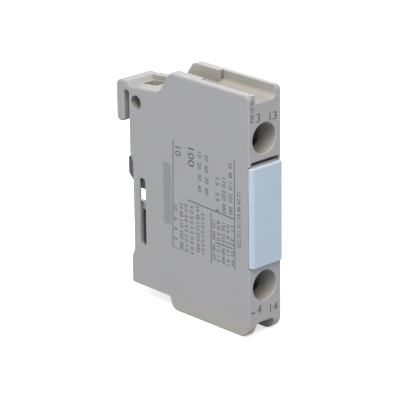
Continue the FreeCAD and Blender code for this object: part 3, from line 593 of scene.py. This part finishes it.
class StageOperator(bpy.types.Operator):
    """Make the floor, the lamps and the camera"""
    bl_idname = "block.stage"
    bl_label = "Stage"

    # Each lamp's place, width and tint. All of them look at the middle of the block.
    LAMPS = {
        "key": ((-0.40, -0.35, 0.88), 0.7, (1.0, 0.95, 0.81)),
        "fill": ((-0.88, -0.53, 0.12), 0.6, (0.50, 0.72, 1.0)),
        "rear": ((0.85, 0.50, 0.30), 0.7, (0.96, 0.98, 1.0)),
    }
    MIDDLE = Vector((0.0, 0.0, 0.03))

    # Half the floor's width, its thickness, and its gap under the block
    FLOOR_HALF = 3.0
    FLOOR_THICK = 0.01
    FLOOR_GAP = 0.01 * MM
    # The share of its colour that lights the block, and the light it adds where it is seen
    FLOOR_DIM = 0.4
    FLOOR_LIFT = 0.66

    SKY_TINT = (0.94, 0.99, 1.08, 1.0)
    WHITE = (1.0, 1.0, 1.0, 1.0)

    # The camera's place, its heading, downward tilt and roll in degrees, and its lens in mm
    CAMERA_PLACE = (-0.35830, -0.38298, 0.21788)
    CAMERA_ANGLES = (43.1255, 20.0249, -0.7056)
    CAMERA_LENS = 219.468
    SENSOR_WIDTH = 36.0

    def execute(self, context):
        wishes = context.scene.block_stage
        self.make_floor(wishes)
        self.make_sky(context.scene, wishes)
        for name, (place, width, tint) in self.LAMPS.items():
            self.make_lamp(name, getattr(wishes, name), place, width, tint)
        self.make_camera(context.scene)
        context.scene.view_settings.view_transform = "Standard"
        return {"FINISHED"}

    def make_floor(self, wishes):
        """Pale where it is seen, with the block's shadow on it, and dim where it lights."""
        finish = Finish("floor")
        tones = [(*[wishes.floor * share] * 3, 1.0) for share in (self.FLOOR_DIM, 1.0)]
        dim, pale = [finish.node("BsdfDiffuse", None, {"Color": tone})["BSDF"] for tone in tones]
        lift = finish.node("Emission", None, {
            "Color": self.WHITE, "Strength": self.FLOOR_LIFT,
        })["Emission"]
        lifted = finish.node("AddShader", None, {0: pale, 1: lift})["Shader"]
        mixed = finish.node("MixShader", None, {
            0: seen_rays(finish.tree), 1: dim, 2: lifted,
        })["Shader"]
        finish.node("OutputMaterial", None, {"Surface": mixed})
        half = self.FLOOR_HALF
        corners = [(-half, -half), (half, -half), (half, half), (-half, half)]
        points, faces = slab(corners, BOTTOM_Z - self.FLOOR_THICK, BOTTOM_Z - self.FLOOR_GAP)
        put("floor", points, faces, finish.material)

    def make_sky(self, scene, wishes):
        """White where it is seen or mirrored, and a plain even light elsewhere."""
        world = bpy.data.worlds.new("sky")
        world.use_nodes = True
        tree = world.node_tree
        tree.nodes.clear()
        seen = seen_rays(tree)
        tint = add_node(tree, "Mix", {"data_type": "RGBA"}, {
            0: seen, MIX_FIRST: self.SKY_TINT, MIX_SECOND: self.WHITE,
        })[MIX_COLOUR]
        light = add_node(tree, "Background", None, {
            "Color": tint, "Strength": wishes.sky + seen * (1.0 - wishes.sky),
        })["Background"]
        add_node(tree, "OutputWorld", None, {"Surface": light})
        scene.world = world

    def make_lamp(self, name, power, place, width, tint):
        """A round soft lamp that looks at the middle of the block."""
        lamp = bpy.data.lights.new(name, "AREA")
        lamp.shape = "DISK"
        lamp.size = width
        lamp.energy = power
        lamp.color = tint
        holder = bpy.data.objects.new(name, lamp)
        holder.location = place
        way = self.MIDDLE - Vector(place)
        holder.rotation_euler = way.to_track_quat("-Z", "Y").to_euler()
        bpy.context.scene.collection.objects.link(holder)

    def make_camera(self, scene):
        """The photograph's camera: a long lens from the front left, a little above.

        Its view goes ahead by the heading and the tilt, and the roll turns its level way and
        its upward way about that.
        """
        turn, tilt, roll = (math.radians(angle) for angle in self.CAMERA_ANGLES)
        ahead = Vector((math.sin(turn) * math.cos(tilt), math.cos(turn) * math.cos(tilt),
                        -math.sin(tilt)))
        level = Vector((math.cos(turn), -math.sin(turn), 0.0))
        upward = level.cross(ahead)
        right = math.cos(roll) * level + math.sin(roll) * upward
        top = math.cos(roll) * upward - math.sin(roll) * level
        lens = bpy.data.cameras.new("camera")
        lens.sensor_width = self.SENSOR_WIDTH
        lens.lens = self.CAMERA_LENS
        lens.clip_start = 0.01
        lens.clip_end = 50.0
        holder = bpy.data.objects.new("camera", lens)
        turned = Matrix((right, top, -ahead)).transposed().to_4x4()
        holder.matrix_world = Matrix.Translation(Vector(self.CAMERA_PLACE)) @ turned
        scene.collection.objects.link(holder)
        scene.camera = holder


class CaseOperator(bpy.types.Operator):
    """Finish the shell, its cover, the marking cap and the slide"""
    bl_idname = "block.case"
    bl_label = "Case"

    def execute(self, context):
        colours = context.scene.block_colours
        # The case takes painted bounce light in its troughs and painted shade in its holes
        dress("grey_plastic", moulded(
            "case_plastic", colours.case, rim=colours.case, inside=colours.inside,
            hollow_shade=colours.hollow_shade, grain=1.0, roughness=0.52, round_over=0.18 * MM))
        # The cap's edges take a near-white painted highlight
        dress("cap_plastic", moulded(
            "cap_plastic_face", colours.cap, rim=colours.rim, inside=colours.cap,
            hollow_shade=colours.cap, grain=0.35, roughness=0.36, round_over=0.30 * MM))
        dress("slide_plastic", moulded(
            "slide_plastic_face", colours.slide, rim=colours.slide, inside=colours.slide,
            hollow_shade=colours.slide, grain=0.5, roughness=0.38, round_over=0.10 * MM))
        return {"FINISHED"}


class MetalsOperator(bpy.types.Operator):
    """Finish the strips, the bridge, the washers, the nuts and the contact rivets"""
    bl_idname = "block.metals"
    bl_label = "Metals"

    # Slot, setting of its colour, finish, stain, stretch of its lines and roughness
    METALS = [
        ("copper", "copper", "rolled_copper", (0.50, 0.22, 0.13), (1, 1, 30), 0.30),
        ("brass", "brass", "rolled_brass", (0.55, 0.36, 0.13), (1, 8, 30), 0.30),
        ("plated_steel", "steel", "plated_steel_face", (0.50, 0.50, 0.47), (1, 1, 1), 0.34),
        ("spring_steel", "spring", "spring_steel_face", (0.20, 0.19, 0.19), (1, 1, 1), 0.36),
        ("silver", "silver", "contact_silver", (0.55, 0.52, 0.46), (1, 1, 1), 0.26),
    ]

    def execute(self, context):
        colours = context.scene.block_colours
        for slot, setting, name, stain, stretch, roughness in self.METALS:
            dress(slot, rolled(name, getattr(colours, setting), stain, stretch, roughness))
        return {"FINISHED"}


class ScrewsOperator(bpy.types.Operator):
    """Cut real threads on the two terminal screws"""
    bl_idname = "block.screws"
    bl_label = "Screws"

    # How far the thread begins inside the head, the chamfer at its end, and how far short of
    # its underside the head is cut off
    INTO_HEAD = 0.4 * MM
    CHAMFER = 0.6 * MM
    CUT_SHORT = 0.01 * MM

    def execute(self, context):
        wishes = context.scene.block_screws
        finish = bpy.data.materials["plated_steel_face"]
        for side in ("upper", "lower"):
            node = f"{side}_terminal_screw"
            low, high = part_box(node)
            seat = low.y + wishes.head
            centre = ((low.x + high.x) / 2, (low.z + high.z) / 2)
            shank = thread(wishes.core, wishes.outside, wishes.pitch, seat - self.INTO_HEAD,
                           high.y, self.CHAMFER, centre)
            points, faces = gather([self.head(frame["nodes"][node], seat), shank])
            piece = put(f"{side}_threaded_screw", points, faces, finish)
            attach(piece, f"{side}_screw")
            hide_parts(node)
        return {"FINISHED"}

    def head(self, node, seat):
        """The screw's head: a merged copy of the solid, cut off at its underside and closed."""
        cut = (0.0, seat - self.CUT_SHORT, 0.0)
        shape = bmesh.new()
        shape.from_mesh(node.data)
        bmesh.ops.remove_doubles(shape, verts=shape.verts, dist=SOLID_SEAM)
        everything = shape.verts[:] + shape.edges[:] + shape.faces[:]
        bmesh.ops.bisect_plane(shape, geom=everything, plane_co=cut, plane_no=(0.0, 1.0, 0.0),
                               clear_outer=True)
        rim = [edge for edge in shape.edges if edge.is_boundary]
        bmesh.ops.holes_fill(shape, edges=rim, sides=0)
        return taken(shape)


class SpringsOperator(bpy.types.Operator):
    """Wind the contact spring and the return spring"""
    bl_idname = "block.springs"
    bl_label = "Springs"

    def execute(self, context):
        wishes = context.scene.block_springs
        finish = bpy.data.materials["spring_steel_face"]
        piece = self.wind("contact_spring", wishes.contact_wire, wishes.contact_turns, finish)
        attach(piece, "carrier")
        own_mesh(piece)
        piece = self.wind("return_spring", wishes.return_wire, wishes.return_turns, finish)
        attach(piece, "housing")
        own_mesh(piece)
        return {"FINISHED"}

    def wind(self, node, wire, turns, finish):
        """A coil that fills the box of its solid and stands for it."""
        low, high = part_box(node)
        centre = ((low.x + high.x) / 2, (low.z + high.z) / 2)
        radius = (high.z - low.z - wire) / 2
        points, faces = coil(wire, radius, high.y - low.y, turns, centre, low.y)
        piece = put(node.replace("spring", "coil"), points, faces, finish, smooth=True)
        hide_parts(node)
        return piece


def on_side(piece):
    """From (down the side, towards the front, outwards) to the printed side."""
    points, faces = piece
    return np.stack([PRINTED_X - points[:, 2], FRONT_Y - points[:, 1],
                     BOTTOM_Z - points[:, 0]], axis=1), faces


def on_front(piece):
    """From (across, up, outwards) to the front face."""
    points, faces = piece
    return np.stack([PRINTED_X + points[:, 0], FRONT_Y - points[:, 2],
                     BOTTOM_Z + points[:, 1]], axis=1), faces


def side_spot(back, height):
    """(down, towards the front) of a spot on the printed side.

    It is given by its distance from the front and its height over the foot, in mm.
    """
    return np.array([-height, -back]) * MM


def row(text, spot, size, low, high):
    """Figures whose lower left corner is at spot and that fill size, wide and tall."""
    points, faces = numbers(text, low, high)
    points[:, 0] *= size[0] / points[:, 0].max()
    points[:, 1] *= size[1]
    points[:, :2] += spot
    return points, faces


class SidePrintOperator(bpy.types.Operator):
    """Print the rules, the figures and the plain band on the side"""
    bl_idname = "block.side_print"
    bl_label = "Side print"

    # Figures, distance from the front, upper and lower end, height of the figures, in mm
    ROWS = [
        ("10", 22.9, 40.5, 38.3, 1.9),
        ("100", 18.6, 41.2, 36.8, 2.0),
        ("10  20  30  40", 15.9, 40.9, 31.4, 1.15),
        ("50  60  70  80", 13.6, 40.8, 31.3, 1.15),
        ("1.5   2.5   4", 10.1, 36.2, 28.2, 1.15),
        ("110 220 380", 8.0, 36.7, 28.3, 1.15),
        ("24  48  110  220  380", 5.9, 40.8, 28.6, 1.15),
        ("12 24 48 60", 3.2, 34.6, 28.1, 1.1),
        ("110 125 220", 3.2, 27.6, 21.4, 1.1),
        ("10   6   4   2   1", 24.0, 26.2, 15.6, 1.05),
        ("24 48 110 220 380", 22.1, 27.2, 15.7, 1.05),
        ("6.0 4.0 3.0 2.0 1.0", 20.45, 27.3, 15.7, 1.05),
        ("5.0 2.5 1.2 0.6 0.3", 18.6, 27.4, 15.6, 1.05),
        ("24 48 110 220 440", 16.6, 27.9, 16.7, 1.05),
        ("3.0 1.0 0.5 0.3 0.1", 15.0, 26.6, 16.6, 1.05),
        ("120 240", 11.4, 25.8, 21.2, 1.0),
        ("480 600", 11.4, 20.0, 16.2, 1.0),
        ("6.0 3.0", 9.9, 26.0, 21.2, 1.0),
        ("1.5 1.2", 9.9, 20.0, 16.1, 1.0),
        ("125 250", 8.35, 26.0, 21.2, 1.0),
        ("300 400", 8.35, 20.0, 16.1, 1.0),
        ("0.5 0.2", 6.8, 26.0, 21.2, 1.0),
        ("0.1 0.1", 6.8, 20.0, 16.1, 1.0),
        ("11  22", 5.4, 26.0, 21.2, 0.9),
        ("33  44", 5.4, 20.0, 16.4, 0.9),
    ]
    # Ends of each rule as (distance from the front, height), in mm
    RULES = [
        ((24.5, 41.7), (25.1, 15.6)),
        ((4.65, 41.8), (4.65, 15.7)),
        ((12.3, 27.3), (12.3, 15.2)),
        ((19.8, 28.5), (4.8, 27.8)),
        ((11.0, 20.6), (5.3, 20.6)),
    ]
    # Two corners of the band in the same way, the radius of its corners in mm, and its film
    # against the film of the figures
    BAND = ((28.0, 35.9), (25.4, 20.9))
    BAND_RADIUS = 0.8 * MM
    BAND_FILM = 0.6

    def execute(self, context):
        wishes = context.scene.block_print
        colours = context.scene.block_colours
        # The ink is as deep in the plastic as it stands above it, so no edge of it is open
        low, high = -wishes.film, wishes.film
        pieces = []
        for text, back, top, bottom, tall in self.ROWS:
            spot = side_spot(back + tall / 2, top)
            size = np.array([top - bottom, tall]) * MM
            pieces.append(on_side(row(text, spot, size, low, high)))
        for first, second in self.RULES:
            line = rule(side_spot(*first), side_spot(*second), wishes.line, low, high)
            pieces.append(on_side(line))
        piece = put("side_print", *gather(pieces), printed("side_ink", colours.ink, uneven=0.5))
        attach(piece, "housing")
        first, last = self.BAND
        outline = round_box(side_spot(*first), side_spot(*last), self.BAND_RADIUS)
        band = on_side(slab(outline, low, high * self.BAND_FILM))
        piece = put("side_band", *band, printed("band_ink", colours.band, uneven=0.7))
        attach(piece, "housing")
        return {"FINISHED"}


class FrontPrintOperator(bpy.types.Operator):
    """Print the terminal numbers on the front"""
    bl_idname = "block.front_print"
    bl_label = "Front print"

    # Figures, left edge, lower edge, width and height, in mm
    ROWS = [
        ("3", 2.5, 50.9, 0.95, 2.0),
        ("13", 6.4, 50.5, 2.3, 1.8),
        ("4", 2.5, 5.5, 1.25, 2.1),
        ("14", 6.5, 4.9, 2.4, 1.9),
    ]
    # The row that reads downwards: figures, left edge, upper end, length and height, in mm
    DOWN_ROW = ("10 20 30", 0.5, 56.2, 4.2, 1.1)
    # Ends and width of the dash, and middle and radius of the dot, in mm
    DASH = ((0.55, 6.2), (1.7, 6.2))
    DASH_WIDE = 0.3
    DOT = (0.86, 51.5)
    DOT_RADIUS = 0.28

    def execute(self, context):
        wishes = context.scene.block_print
        low, high = -wishes.film, wishes.film
        pieces = []
        for text, left, bottom, wide, tall in self.ROWS:
            spot = np.array([left, bottom]) * MM
            size = np.array([wide, tall]) * MM
            pieces.append(on_front(row(text, spot, size, low, high)))
        first, last = np.array(self.DASH) * MM
        pieces.append(on_front(rule(first, last, self.DASH_WIDE * MM, low, high)))
        turn = np.linspace(0.0, 2 * math.pi, DOT_SIDES, endpoint=False)
        dot = self.DOT + self.DOT_RADIUS * np.stack([np.cos(turn), np.sin(turn)], axis=1)
        pieces.append(on_front(slab(dot * MM, low, high)))
        text, left, top, long, tall = self.DOWN_ROW
        points, faces = row(text, (0.0, 0.0), (long * MM, tall * MM), low, high)
        across, down, out = points[:, 1], points[:, 0], points[:, 2]
        turned = np.stack([left * MM + across, top * MM - down, out], axis=1)
        pieces.append(on_front((turned, faces)))
        piece = put("front_print", *gather(pieces), bpy.data.materials["side_ink"])
        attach(piece, "housing")
        return {"FINISHED"}


GROUPS = {
    "block_colours": BlockColours,
    "block_print": BlockPrint,
    "block_springs": BlockSprings,
    "block_screws": BlockScrews,
    "block_stage": BlockStage,
}
OPERATORS = (StageOperator, CaseOperator, MetalsOperator, ScrewsOperator, SpringsOperator,
             SidePrintOperator, FrontPrintOperator)


class BlockPanel(bpy.types.Panel):
    """Buttons and sizes of the contact block"""
    bl_idname = "VIEW3D_PT_block"
    bl_label = "Contact block"
    bl_space_type = "VIEW_3D"
    bl_region_type = "UI"
    bl_category = "Block"

    def draw(self, context):
        for name, group in GROUPS.items():
            box = self.layout.box()
            for prop in group.__annotations__:
                box.prop(getattr(context.scene, name), prop)
        for operator in OPERATORS:
            self.layout.operator(operator.bl_idname)


def register():
    for group in (*GROUPS.values(), *OPERATORS, BlockPanel):
        bpy.utils.register_class(group)
    for name, group in GROUPS.items():
        setattr(bpy.types.Scene, name, bpy.props.PointerProperty(type=group))


def unregister():
    for name in GROUPS:
        delattr(bpy.types.Scene, name)
    for group in reversed((*GROUPS.values(), *OPERATORS, BlockPanel)):
        bpy.utils.unregister_class(group)


def main():
    register()
    bpy.ops.block.stage()
    bpy.ops.block.case()
    bpy.ops.block.metals()
    bpy.ops.block.screws()
    bpy.ops.block.springs()
    bpy.ops.block.side_print()
    bpy.ops.block.front_print()


if __name__ == "__main__":
    main()
